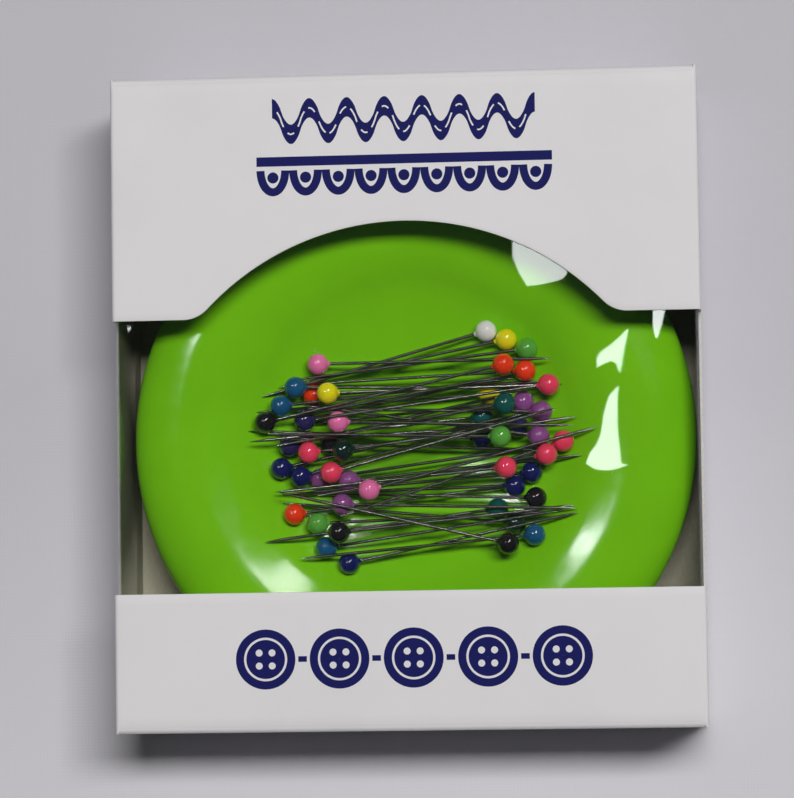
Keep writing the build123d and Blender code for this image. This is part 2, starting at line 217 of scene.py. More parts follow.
def ink():
    m, nt, bs = material("navy_ink")
    v = coords(nt)
    n = noise(nt, v, 900.0, 5.0, 0.65)
    nt.links.new(ramp(nt, n, [(0.25, lin((7, 12, 84))), (0.7, lin((11, 18, 98)))]), bs.inputs["Base Color"])
    nt.links.new(span(nt, n, 0.62, 0.76), bs.inputs["Roughness"])
    bs.inputs["IOR"].default_value = 1.38
    bump(nt, bs, [(noise(nt, v, 5200.0, 3.0, 0.6), 0.12, 0.00003)])
    return m


def film_clear():
    """Clear glossy film: it passes what is behind it and mirrors a little, more and more towards a grazing view."""
    m, nt, bs = material("clear_film")
    v = coords(nt, (1.0, 0.35, 1.0))
    n = noise(nt, v, 55.0, 2.0, 0.4)
    nt.links.new(ramp(nt, n, [(0.3, (0.92, 0.95, 0.95)), (0.7, (0.98, 0.99, 1.0))]), bs.inputs["Base Color"])
    bs.inputs["Metallic"].default_value = 1.0
    nt.links.new(span(nt, noise(nt, v, 260.0, 3.0, 0.5), 0.004, 0.016), bs.inputs["Roughness"])
    lw = nt.nodes.new("ShaderNodeLayerWeight")
    lw.inputs["Blend"].default_value = 0.5
    graze = nt.nodes.new("ShaderNodeMath")
    graze.operation = "POWER"
    graze.inputs[1].default_value = 5.0
    nt.links.new(lw.outputs["Facing"], graze.inputs[0])
    nt.links.new(span(nt, graze.outputs["Value"], 0.045, 0.95), bs.inputs["Alpha"])
    return m


def dish_plastic():
    m, nt, bs = material("green_gloss_plastic")
    v = coords(nt)
    cloud = noise(nt, v, 55.0, 4.0, 0.55)
    flow = noise(nt, coords(nt, (1.0, 1.0, 0.4)), 14.0, 3.0, 0.5, 0.6)
    mix = nt.nodes.new("ShaderNodeMix")
    mix.data_type = "RGBA"
    mix.inputs["Factor"].default_value = 0.35
    nt.links.new(ramp(nt, cloud, [(0.3, GREEN_LO), (0.7, GREEN_HI)]), mix.inputs["A"])
    nt.links.new(ramp(nt, flow, [(0.3, GREEN_HI), (0.7, GREEN_LO)]), mix.inputs["B"])
    nt.links.new(mix.outputs["Result"], bs.inputs["Base Color"])
    scuff = noise(nt, v, 420.0, 6.0, 0.7)
    nt.links.new(span(nt, scuff, 0.09, 0.17, 0.35, 0.75), bs.inputs["Roughness"])
    bs.inputs["IOR"].default_value = 1.49
    bs.inputs["Subsurface Weight"].default_value = 0.03
    bs.inputs["Subsurface Radius"].default_value = (0.4, 1.0, 0.1)
    bs.inputs["Subsurface Scale"].default_value = 0.0015
    peel = noise(nt, v, 140.0, 2.0, 0.4)
    grain = noise(nt, v, 2600.0, 3.0, 0.6)
    bump(nt, bs, [(peel, 0.10, 0.00025), (grain, 0.05, 0.00003)])
    return m


GREEN_LO = (0.175, 0.555, 0.005)
GREEN_HI = (0.220, 0.640, 0.007)


def moulded(name, lo, hi, rough=(0.42, 0.58), grain=1500.0, strength=0.3):
    m, nt, bs = material(name)
    v = coords(nt)
    n = noise(nt, v, 120.0, 4.0, 0.55)
    nt.links.new(ramp(nt, n, [(0.3, lo), (0.7, hi)]), bs.inputs["Base Color"])
    g = noise(nt, v, grain, 4.0, 0.6)
    nt.links.new(span(nt, g, rough[0], rough[1]), bs.inputs["Roughness"])
    bs.inputs["IOR"].default_value = 1.49
    bump(nt, bs, [(g, strength, 0.00006)])
    return m


def head_plastic(name, rgb):
    m, nt, bs = material("head_" + name)
    c = lin(rgb)
    v = coords(nt)
    n = noise(nt, v, 420.0, 3.0, 0.5)
    nt.links.new(ramp(nt, n, [(0.3, [x * 0.88 for x in c]), (0.7, [min(1.0, x * 1.08 + 0.004) for x in c])]),
                 bs.inputs["Base Color"])
    nt.links.new(span(nt, noise(nt, v, 1300.0, 4.0, 0.6), 0.06, 0.12, 0.35, 0.7), bs.inputs["Roughness"])
    bs.inputs["IOR"].default_value = 1.52
    bs.inputs["Coat Weight"].default_value = 0.6
    bs.inputs["Coat Roughness"].default_value = 0.04
    bs.inputs["Subsurface Weight"].default_value = 0.08
    bs.inputs["Subsurface Radius"].default_value = (1.0, 0.8, 0.8)
    bs.inputs["Subsurface Scale"].default_value = 0.0006
    bump(nt, bs, [(noise(nt, v, 900.0, 2.0, 0.5), 0.05, 0.00005)])
    return m


def metal(name, lo, hi, rough, stretch=(1, 1, 1), scale=1500.0, strength=0.2):
    m, nt, bs = material(name)
    v = coords(nt, stretch)
    n = noise(nt, v, scale, 4.0, 0.6)
    nt.links.new(ramp(nt, n, [(0.25, lo), (0.75, hi)]), bs.inputs["Base Color"])
    bs.inputs["Metallic"].default_value = 1.0
    nt.links.new(span(nt, n, rough[0], rough[1]), bs.inputs["Roughness"])
    bump(nt, bs, [(n, strength, 0.00003)])
    return m


def foam_mat():
    m, nt, bs = material("closed_cell_foam")
    v = coords(nt)
    vo = nt.nodes.new("ShaderNodeTexVoronoi")
    vo.inputs["Scale"].default_value = 1400.0
    nt.links.new(v, vo.inputs["Vector"])
    nt.links.new(ramp(nt, vo.outputs["Distance"], [(0.0, (0.006, 0.006, 0.007)), (0.5, (0.022, 0.022, 0.025))]),
                 bs.inputs["Base Color"])
    nt.links.new(span(nt, vo.outputs["Distance"], 0.75, 0.95), bs.inputs["Roughness"])
    bump(nt, bs, [(vo.outputs["Distance"], 0.6, 0.0002)])
    return m


def cloth_floor():
    m, nt, bs = material("floor_cloth")
    v = coords(nt)
    n = noise(nt, v, 6.0, 3.0, 0.5)
    # painted shade: the cloth colour goes from the lighter set B at the front (y = -85 mm) to the darker set A at y = 5
    # mm and behind, standing in for how the light falls off across the floor
    painted_shade_mix = nt.nodes.new("ShaderNodeMix")
    painted_shade_mix.data_type = "RGBA"
    sep = nt.nodes.new("ShaderNodeSeparateXYZ")
    nt.links.new(coords(nt), sep.inputs["Vector"])
    nt.links.new(span(nt, sep.outputs["Y"], 1.0, 0.0, -0.085, 0.005), painted_shade_mix.inputs["Factor"])
    nt.links.new(ramp(nt, n, [(0.3, (0.560, 0.550, 0.588)), (0.7, (0.610, 0.600, 0.640))]), painted_shade_mix.inputs["A"])
    nt.links.new(ramp(nt, n, [(0.3, (0.690, 0.677, 0.712)), (0.7, (0.745, 0.731, 0.768))]), painted_shade_mix.inputs["B"])
    nt.links.new(painted_shade_mix.outputs["Result"], bs.inputs["Base Color"])
    wv = nt.nodes.new("ShaderNodeTexWave")
    wv.wave_type = "BANDS"
    wv.bands_direction = "X"
    wv.inputs["Scale"].default_value = 520.0
    wv.inputs["Distortion"].default_value = 1.5
    nt.links.new(v, wv.inputs["Vector"])
    wv2 = nt.nodes.new("ShaderNodeTexWave")
    wv2.wave_type = "BANDS"
    wv2.bands_direction = "Y"
    wv2.inputs["Scale"].default_value = 520.0
    wv2.inputs["Distortion"].default_value = 1.5
    nt.links.new(v, wv2.inputs["Vector"])
    bs.inputs["Roughness"].default_value = 0.9
    fold = noise(nt, coords(nt, (1.0, 0.45, 1.0)), 9.0, 2.0, 0.5)
    bump(nt, bs, [(fold, 0.5, 0.006), (wv.outputs["Fac"], 0.10, 0.00008), (wv2.outputs["Fac"], 0.10, 0.00008)])
    return m


MAT = {
    "board": board_coated(),
    "board_inner": board_raw("board_inner_face", (0.43, 0.405, 0.31), (0.56, 0.53, 0.41)),
    "board_edge": board_raw("board_cut_edge", (0.52, 0.50, 0.47), (0.78, 0.77, 0.74), 5200.0),
    "ink": ink(),
    "film": film_clear(),
    "dish": dish_plastic(),
    "base": moulded("base_green_matte", (0.055, 0.20, 0.008), (0.075, 0.25, 0.012)),
    "ferrite": moulded("ferrite", (0.010, 0.010, 0.012), (0.022, 0.022, 0.026), (0.5, 0.75), 1100.0, 0.5),
    "plate": metal("zinc_plated_steel", (0.40, 0.40, 0.42), (0.55, 0.55, 0.58), (0.28, 0.42), (1, 0.08, 1)),
    "foam": foam_mat(),
    "screw": metal("bright_zinc", (0.50, 0.50, 0.52), (0.66, 0.66, 0.68), (0.2, 0.34)),
    "rubber": moulded("black_rubber", (0.010, 0.010, 0.010), (0.020, 0.020, 0.020), (0.62, 0.82), 2200.0, 0.4),
    "pin": metal("pin_steel", (0.20, 0.20, 0.19), (0.40, 0.39, 0.37), (0.16, 0.30), (0.15, 1, 1), 1800.0, 0.15),
}
HEADS = {
    "white": (242, 240, 238), "yellow": (252, 232, 20), "orange_red": (255, 62, 20), "rose": (255, 66, 102),
    "pink": (255, 124, 184), "purple": (146, 78, 146), "violet": (42, 36, 90), "blue": (20, 88, 132),
    "navy": (16, 24, 94), "teal": (8, 86, 82), "green": (94, 176, 66), "dark_green": (6, 38, 34),
    "black": (18, 16, 24),
}


# ================================================================== mesh helpers
def make(name, verts, faces, mats, smooth=True, face_mats=None):
    """verts in millimetres."""
    me = bpy.data.meshes.new(name)
    me.from_pydata([tuple(v * MM for v in p) for p in verts], [], faces)
    me.validate()
    for m in mats:
        me.materials.append(m)
    if face_mats is not None:
        me.polygons.foreach_set("material_index", face_mats)
    me.polygons.foreach_set("use_smooth", [smooth] * len(me.polygons))
    me.update()
    ob = bpy.data.objects.new(name, me)
    scene.collection.objects.link(ob)
    return ob


def apply_modifiers(ob):
    dg = bpy.context.evaluated_depsgraph_get()
    me = bpy.data.meshes.new_from_object(ob.evaluated_get(dg))
    ob.modifiers.clear()
    old = ob.data
    ob.data = me
    bpy.data.meshes.remove(old)
    return ob


def sharp_by_angle(ob, degrees):
    """Smooth shading, with edges sharper than this angle kept sharp."""
    me = ob.data
    lim = math.radians(degrees)
    import bmesh
    bm = bmesh.new()
    bm.from_mesh(me)
    for e in bm.edges:
        e.smooth = not (len(e.link_faces) == 2 and e.calc_face_angle(0.0) > lim)
    for f in bm.faces:
        f.smooth = True
    bm.to_mesh(me)
    bm.free()
    me.update()


def lathe_mesh(profile, segs):
    """Closed outline in (r, z), turned about Z. Points with r = 0 become one vertex."""
    verts, rings = [], []
    for r, z in profile:
        if r < 1e-9:
            rings.append([len(verts)])
            verts.append((0.0, 0.0, z))
        else:
            ids = []
            for k in range(segs):
                a = 2 * math.pi * k / segs
                ids.append(len(verts))
                verts.append((r * math.cos(a), r * math.sin(a), z))
            rings.append(ids)
    faces = []
    n = len(rings)
    closed = len(rings[0]) > 1 or len(rings[-1]) > 1
    pairs = [(i, i + 1) for i in range(n - 1)]
    if closed:
        pairs.append((n - 1, 0))
    for i, j in pairs:
        a, b = rings[i], rings[j]
        for k in range(segs):
            k2 = (k + 1) % segs
            if len(a) == 1 and len(b) == 1:
                break
            if len(a) == 1:
                faces.append((a[0], b[k], b[k2]))
            elif len(b) == 1:
                faces.append((a[k], b[0], a[k2]))
            else:
                faces.append((a[k], b[k], b[k2], a[k2]))
    return verts, faces


def outward(ob):
    """Makes the face normals consistent and pointing out."""
    import bmesh
    bm = bmesh.new()
    bm.from_mesh(ob.data)
    bmesh.ops.recalc_face_normals(bm, faces=bm.faces)
    bm.to_mesh(ob.data)
    bm.free()
    ob.data.update()


def lathe(name, profile, segs, mat, at=(0.0, 0.0, 0.0), angle=35):
    v, f = lathe_mesh(profile, segs)
    v = [(x + at[0], y + at[1], z + at[2]) for x, y, z in v]
    ob = make(name, v, f, [mat])
    outward(ob)
    sharp_by_angle(ob, angle)
    return ob


def smoothstep(t):
    t = max(0.0, min(1.0, t))
    return t * t * (3 - 2 * t)


# ================================================================== carton, one folded sheet
arch_yc = ARCH_TOP - ARCH_R
foot_y = WIN_TOP + ARCH_FOOT_R
foot_x = math.sqrt((ARCH_R + ARCH_FOOT_R) ** 2 - (foot_y - arch_yc) ** 2)
arch_tx = foot_x * ARCH_R / (ARCH_R + ARCH_FOOT_R)


def arch_low(x):
    """Lower edge of the upper front panel at this x."""
    ax = abs(x)
    if ax <= arch_tx:
        return arch_yc + math.sqrt(ARCH_R ** 2 - ax ** 2)
    if ax < foot_x:
        return foot_y - math.sqrt(max(0.0, ARCH_FOOT_R ** 2 - (ax - foot_x) ** 2))
    return WIN_TOP


def front_bow(x, y):
    """Slight outward bow of the front panels, nothing at the creases."""
    ex = max(0.0, 1 - (x / (HW - 1.0)) ** 2)
    if y > WIN_TOP:
        t = (y - WIN_TOP) / (HH - 1 - WIN_TOP)
        return 0.16 * ex * math.sin(math.pi * min(1, max(0, t)) * 0.5 + math.pi / 2) ** 2 * (1 - t * t)
    t = (WIN_BOT - y) / (HH - 1 + WIN_BOT)
    t = min(1, max(0, t))
    return 0.14 * ex * (1 - t * t)


def front_z(x, y):
    return D + front_bow(x, y)


def carton_columns():
    """Columns round the tube: outer point (x, z), outward normal, panel name, weight of the end roll."""
    cols = []
    q = 5
    r = CREASE_R
    zf = BOARD + 0.02
    gx = -HW + BOARD + 13.0

    def line(p0, p1, n, count, name, roll=0.0, skip_first=False):
        for i in range(1 if skip_first else 0, count + 1):
            t = i / count
            cols.append([(p0[0] + (p1[0] - p0[0]) * t, p0[1] + (p1[1] - p0[1]) * t), n, name, roll])

    def arc(c, a0, a1, name, roll0, roll1):
        for i in range(1, q + 1):
            t = i / q
            a = a0 + (a1 - a0) * t
            cols.append([(c[0] + r * math.cos(a), c[1] + r * math.sin(a)), (math.cos(a), math.sin(a)), name,
                         max(0.0, 1 - (1 - roll0 - (roll1 - roll0) * t) * q)])

    line((gx, zf), (-HW + r, zf), (0, -1), 10, "glue")
    arc((-HW + r, zf + r), -math.pi / 2, -math.pi, "glue_crease", 0, 0)
    line((-HW, zf + r), (-HW, WIN_SIDE_Z), (-1, 0), 18, "left_low", skip_first=True)
    line((-HW, WIN_SIDE_Z), (-HW, D - r), (-1, 0), 5, "left", skip_first=True)
    arc((-HW + r, D - r), math.pi, math.pi / 2, "left_crease", 0.0, 1.0)
    # front: columns thicker round the arch's ends
    xs = list(np.linspace(-HW + r, -foot_x - 0.0, 12))[1:]
    xs += list(np.linspace(-foot_x, -arch_tx, 10))[1:]
    xs += [ARCH_R * math.sin(a) for a in np.linspace(-math.asin(arch_tx / ARCH_R), math.asin(arch_tx / ARCH_R), 85)][1:]
    xs += list(np.linspace(arch_tx, foot_x, 10))[1:]
    xs += list(np.linspace(foot_x, HW - r, 12))[1:]
    for x in xs:
        cols.append([(float(x), D), (0, 1), "front", 1.0])
    arc((HW - r, D - r), math.pi / 2, 0.0, "right_crease", 1.0, 0.0)
    line((HW, D - r), (HW, WIN_SIDE_Z), (1, 0), 5, "right", skip_first=True)
    line((HW, WIN_SIDE_Z), (HW, r), (1, 0), 18, "right_low", skip_first=True)
    arc((HW - r, r), 0.0, -math.pi / 2, "back_crease", 0, 0)
    line((HW - r, 0.0), (-HW + 0.12, 0.0), (0, -1), 60, "back", skip_first=True)
    return cols


def build_carton():
    cols = carton_columns()
    verts, faces = [], []
    n_low, n_mid, n_up = 12, 22, 22
    grid = []  # per column: list of vertex ids per band
    window = {"left", "left_crease", "front", "right_crease", "right"}
    glue_end = -HW + BOARD + 13.0
    first_window = next(i for i, c in enumerate(cols) if c[2] == "left") - 1
    last_window = max(i for i, c in enumerate(cols) if c[2] == "right")
    for i, (p, n, name, roll) in enumerate(cols):
        end = HH
        if name == "glue":
            end = 56.5 - 5.0 * (p[0] - (-HW + CREASE_R)) / (glue_end + HW - CREASE_R)
        elif name == "glue_crease":
            end = 56.5 + 2.0 * smoothstep((cols[i][1][1] + 1.0))
        inside = first_window < i < last_window
        top_edge = arch_low(p[0]) if name == "front" else WIN_TOP

        def place(y):
            """A point of this column at this y, with the bow of the front."""
            x, z = p
            if name == "front":
                z = z + front_bow(x, y)
            return (x, y, z)

        # the front panel stops where its end crease begins
        stop = end - ROLL_R * roll
        low = [place(-stop + (WIN_BOT + stop) * t) for t in np.linspace(0, 1, n_low + 1)]
        up_t = [1 - math.cos(t * math.pi / 2) * 0.35 - (1 - t) * 0.65 for t in np.linspace(0, 1, n_up + 1)]
        up = [place(top_edge + (stop - top_edge) * t) for t in up_t]
        mid = [place(WIN_BOT + (WIN_TOP - WIN_BOT) * t) for t in np.linspace(0, 1, n_mid + 1)][1:-1]
        ids = []
        for row in low:
            ids.append(len(verts))
            verts.append(row)
        mids = []
        if not inside:
            for row in mid:
                mids.append(len(verts))
                verts.append(row)
        ups = []
        for row in up:
            ups.append(len(verts))
            verts.append(row)
        grid.append((ids, mids, ups))
    for i in range(len(cols) - 1):
        a, b = grid[i], grid[i + 1]
        for band in (0, 2):
            for k in range(len(a[band]) - 1):
                faces.append((a[band][k], b[band][k], b[band][k + 1], a[band][k + 1]))
        if a[1] and b[1]:
            la = [a[0][-1]] + a[1] + [a[2][0]]
            lb = [b[0][-1]] + b[1] + [b[2][0]]
            for k in range(len(la) - 1):
                faces.append((la[k], lb[k], lb[k + 1], la[k + 1]))
    ob = make("carton_sheet", verts, faces, [MAT["board"], MAT["board_inner"], MAT["board_edge"]])
    # normals out, checked on the front panel
    me = ob.data
    f = max((p for p in me.polygons if p.center.z > (D - 0.2) * MM), key=lambda p: p.center.z)
    if f.normal.z < 0:
        me.flip_normals()
    so = ob.modifiers.new("thickness", "SOLIDIFY")
    so.thickness = BOARD * MM
    so.offset = -1.0
    so.use_even_offset = True
    so.material_offset = 1
    so.material_offset_rim = 2
    be = ob.modifiers.new("cut_edge", "BEVEL")
    be.width = 0.05 * MM
    be.segments = 2
    be.limit_method = "ANGLE"
    be.angle_limit = math.radians(50)
    apply_modifiers(ob)
    sharp_by_angle(ob, 50)
    return ob


carton = build_carton()
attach(carton, "carton")
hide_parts("carton_back_panel", "carton_glue_flap", "carton_left_side_panel", "carton_right_side_panel",
            "carton_front_upper_panel", "carton_front_lower_panel")


# ---- end creases of the front panels
def crease_strip(name, end):
    verts, faces, mi = [], [], []
    xs = np.linspace(-HW + 0.5, HW - 0.5, 100)
    n = 8
    prof_out, prof_in = [], []
    for k in range(n + 1):
        a = (k / n) * math.pi / 2
        s, c = math.sin(a), math.cos(a)
        prof_out.append((HH - ROLL_R + ROLL_R * s, D - ROLL_R + ROLL_R * c))
        ri = ROLL_R - BOARD
        prof_in.append((HH - ROLL_R + ri * s, D - ROLL_R + ri * c))
    for x in xs:
        for y, z in prof_out:
            bow = front_bow(x, HH - 1.0) * 0
            verts.append((x, end * y, z + bow))
        for y, z in prof_in:
            verts.append((x, end * y, z))
    m = 2 * (n + 1)
    for i in range(len(xs) - 1):
        a, b = i * m, (i + 1) * m
        for k in range(n):
            faces.append((a + k, b + k, b + k + 1, a + k + 1)); mi.append(0)
            faces.append((a + n + 1 + k, a + n + 2 + k, b + n + 2 + k, b + n + 1 + k)); mi.append(1)
        faces.append((a, a + n + 1, b + n + 1, b)); mi.append(2)
        faces.append((a + n, b + n, b + 2 * n + 1, a + 2 * n + 1)); mi.append(2)
    for a in (0, (len(xs) - 1) * m):
        for k in range(n):
            faces.append((a + k, a + k + 1, a + n + 2 + k, a + n + 1 + k)); mi.append(2)
    ob = make(name, verts, faces, [MAT["board"], MAT["board_inner"], MAT["board_edge"]], True, mi)
    outward(ob)
    sharp_by_angle(ob, 50)
    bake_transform(ob)
    return ob


crease_strip("top_closure_crease", 1)
crease_strip("bottom_closure_crease", -1)


# ---- end closures with their tuck tabs
def build_closure(name, end, tuck, body, node):
    lean = math.radians(12.0)
    z_far = BOARD + 0.2
    z_near = D - ROLL_R
    r = 0.75
    w1 = HW - BOARD - 0.3
    w2 = HW - 6.5
    # outer line in (y, z): down the panel, round the crease, along the tab (leaning in and up)
    pts = []
    for t in np.linspace(0, 1, 13):
        pts.append((HH, z_near + (z_far + r - z_near) * t, "panel"))
    turn = math.pi / 2 + lean
    cy, cz = HH - r, z_far + r
    steps = 7
    for k in range(1, steps + 1):
        a = turn * k / steps
        pts.append((cy + r * math.cos(a), cz - r * math.sin(a), "turn"))
    y0, z0 = pts[-1][0], pts[-1][1]
    length = tuck - 0.9
    tab = []
    rc = tuck * 0.8
    for t in list(np.linspace(0, 1, 15))[1:]:
        d = length * t
        tab.append((y0 - d * math.cos(lean), z0 + d * math.sin(lean), length - d))
    half = []
    for t in np.linspace(-1, 1, 73):
        half.append(t)
    side_x = list(np.linspace(w2, w1, 5))[1:]
    verts, faces = [], []

    def bulge(x, z):
        """The closure's faint inward set between its creases."""
        u = max(0.0, 1 - (x / w1) ** 2)
        v = max(0.0, math.sin(math.pi * (z - z_far) / (z_near - z_far)))
        return -0.12 * u * v

    rows = []
    for y, z, kind in pts:
        row = []
        xs = [-x for x in reversed(side_x)] + [t * w2 for t in half] + side_x
        for x in xs:
            if kind == "turn" and abs(x) > w2 + 1e-6:
                row.append(None)
                continue
            row.append(len(verts))
            verts.append((x, end * (y + (bulge(x, z) if kind == "panel" else 0.0)), z))
        rows.append(row)
    ns = len(side_x)
    for y, z, left in tab:
        row = [None] * ns
        wide = w2 if left > rc else w2 - rc + math.sqrt(max(0.0, rc * rc - (rc - left) ** 2))
        for t in half:
            row.append(len(verts))
            verts.append((t * wide, end * y, z))
        row += [None] * ns
        rows.append(row)
    for a, b in zip(rows, rows[1:]):
        for k in range(len(a) - 1):
            q = (a[k], a[k + 1], b[k + 1], b[k])
            if None not in q:
                faces.append(q)
    ob = make(name, verts, faces, [MAT["board"], MAT["board_inner"], MAT["board_edge"]])
    me = ob.data
    f = min(me.polygons, key=lambda p: abs(p.center.z - 0.015) + abs(p.center.x))
    if f.normal.y * end < 0:
        me.flip_normals()
    so = ob.modifiers.new("thickness", "SOLIDIFY")
    so.thickness = BOARD * MM
    so.offset = -1.0
    so.use_even_offset = True
    so.material_offset = 1
    so.material_offset_rim = 2
    be = ob.modifiers.new("cut_edge", "BEVEL")
    be.width = 0.05 * MM
    be.segments = 2
    be.limit_method = "ANGLE"
    be.angle_limit = math.radians(50)
    apply_modifiers(ob)
    sharp_by_angle(ob, 50)
    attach(ob, body)
    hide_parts(node)
    return ob


build_closure("top_closure", 1, 9.0, "top_closure", "top_closure_flap")
build_closure("bottom_closure", -1, 8.0, "bottom_closure", "bottom_closure_flap")


# ---- dust flaps
def build_dust(name, side, end, body, node):
    import bmesh
    y1 = HH - BOARD - 0.1
    y0 = y1 - BOARD
    x0 = HW - BOARD - 0.1
    z_top = D - BOARD - 0.3
    L = 26.0
    outline = [(0.0, BOARD + 0.3), (4.6, BOARD + 0.3)]
    # rounded notch and corners
    def fillet(p, c, n, r, steps=6):
        """Points that round corner c between p and n."""
        v1 = np.array([p[0] - c[0], p[1] - c[1]], float); l1 = np.linalg.norm(v1); v1 /= l1
        v2 = np.array([n[0] - c[0], n[1] - c[1]], float); l2 = np.linalg.norm(v2); v2 /= l2
        ang = math.acos(max(-1, min(1, float(v1 @ v2))))
        d = min(r / math.tan(ang / 2), 0.45 * l1, 0.45 * l2)
        r = d * math.tan(ang / 2)
        bis = v1 + v2; bis /= np.linalg.norm(bis)
        cc = np.array(c) + bis * (r / math.sin(ang / 2))
        a = np.array(c) + v1 * d - cc
        b = np.array(c) + v2 * d - cc
        out = []
        for k in range(steps + 1):
            t = k / steps
            v = a * (1 - t) + b * t
            v = v / np.linalg.norm(v) * r
            out.append(tuple(cc + v))
        return out
    pts = [(0.0, BOARD + 0.3), (4.6, BOARD + 0.3), (6.2, 4.5), (L - 2, 4.5), (L, 6.5),
           (L, z_top - 0.4 - 0.6 * L), (0.0, z_top - 0.4)]
    radii = [0, 0.8, 1.2, 2.0, 2.0, 3.0, 0]
    outline = []
    for i, c in enumerate(pts):
        if radii[i]:
            outline += fillet(pts[i - 1], c, pts[(i + 1) % len(pts)], radii[i])
        else:
            outline.append(c)
    bm = bmesh.new()
    vs = [bm.verts.new((side * (x0 - l) * MM, end * y1 * MM, z * MM)) for l, z in outline]
    face = bm.faces.new(vs)
    ext = bmesh.ops.extrude_face_region(bm, geom=[face])
    for v in [g for g in ext["geom"] if isinstance(g, bmesh.types.BMVert)]:
        v.co.y -= end * BOARD * MM
    bmesh.ops.recalc_face_normals(bm, faces=bm.faces)
    me = bpy.data.meshes.new(name)
    for f in bm.faces:
        ny = f.normal.y * end
        f.material_index = 0 if ny > 0.9 else (1 if ny < -0.9 else 2)
    bm.to_mesh(me)
    bm.free()
    for m in (MAT["board"], MAT["board_inner"], MAT["board_edge"]):
        me.materials.append(m)
    ob = bpy.data.objects.new(name, me)
    scene.collection.objects.link(ob)
    be = ob.modifiers.new("cut_edge", "BEVEL")
    be.width = 0.05 * MM
    be.segments = 2
    be.limit_method = "ANGLE"
    be.angle_limit = math.radians(50)
    apply_modifiers(ob)
    sharp_by_angle(ob, 40)
    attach(ob, body)
    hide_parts(node)


for _e, _en in ((1, "top"), (-1, "bottom")):
    for _s, _sn in ((-1, "left"), (1, "right")):
        build_dust(f"{_en}_dust_{_sn}_board", _s, _e, f"{_en}_dust_{_sn}", f"{_en}_dust_flap_{_sn}")


# ================================================================== clear film
def film_line():
    """Section of the film in X and Z: leg, rounded fold, front, rounded fold, leg. Outer face."""
    x1 = HW - BOARD - 0.02
    z1 = D - BOARD - 0.02
    r = 1.6
    pts = []
    for t in np.linspace(0, 1, 22):
        pts.append((-x1, FILM_LEG_Z + (z1 - r - FILM_LEG_Z) * t, 0.0))
    for k in range(1, 10):
        a = math.pi - (math.pi / 2) * k / 10
        pts.append((-x1 + r + r * math.cos(a), z1 - r + r * math.sin(a), 0.5))
    for t in np.linspace(0, 1, 150):
        pts.append((-x1 + r + 2 * (x1 - r) * t, z1, 1.0))
    for k in range(1, 10):
        a = math.pi / 2 - (math.pi / 2) * k / 10
        pts.append((x1 - r + r * math.cos(a), z1 - r + r * math.sin(a), 0.5))
    for t in np.linspace(0, 1, 22):
        pts.append((x1, z1 - r + (FILM_LEG_Z - z1 + r) * t, 0.0))
    return pts


def gauss(x, c, s):
    return math.exp(-((x - c) / s) ** 2)


def film_height(x, y):
    """How far the film in the window bulges off flat between the panels."""
    u = max(0.0, 1 - (x / 50.0) ** 2)
    v = max(0.0, 1 - ((y + 4.0) / 36.0) ** 2)
    return 0.12 * u * u * v * v


def build_film():
    pts = film_line()
    ys = np.linspace(FILM_BOT, FILM_TOP, 118)
    verts, faces = [], []
    for x, z, kind in pts:
        for y in ys:
            dz = film_height(x, y) if kind == 1.0 else 0.0
            verts.append((x, y, z + dz))
    m = len(ys)
    for i in range(len(pts) - 1):
        for k in range(m - 1):
            a = i * m + k
            faces.append((a, a + m, a + m + 1, a + 1))
    ob = make("window_film_sheet", verts, faces, [MAT["film"]])
    me = ob.data
    f = min(me.polygons, key=lambda p: abs(p.center.x) + abs(p.center.y))
    if f.normal.z < 0:
        me.flip_normals()
    so = ob.modifiers.new("thickness", "SOLIDIFY")
    so.thickness = 0.2 * MM
    so.offset = -1.0
    apply_modifiers(ob)
    sharp_by_angle(ob, 50)
    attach(ob, "carton")
    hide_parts("window_film")
    return ob


build_film()


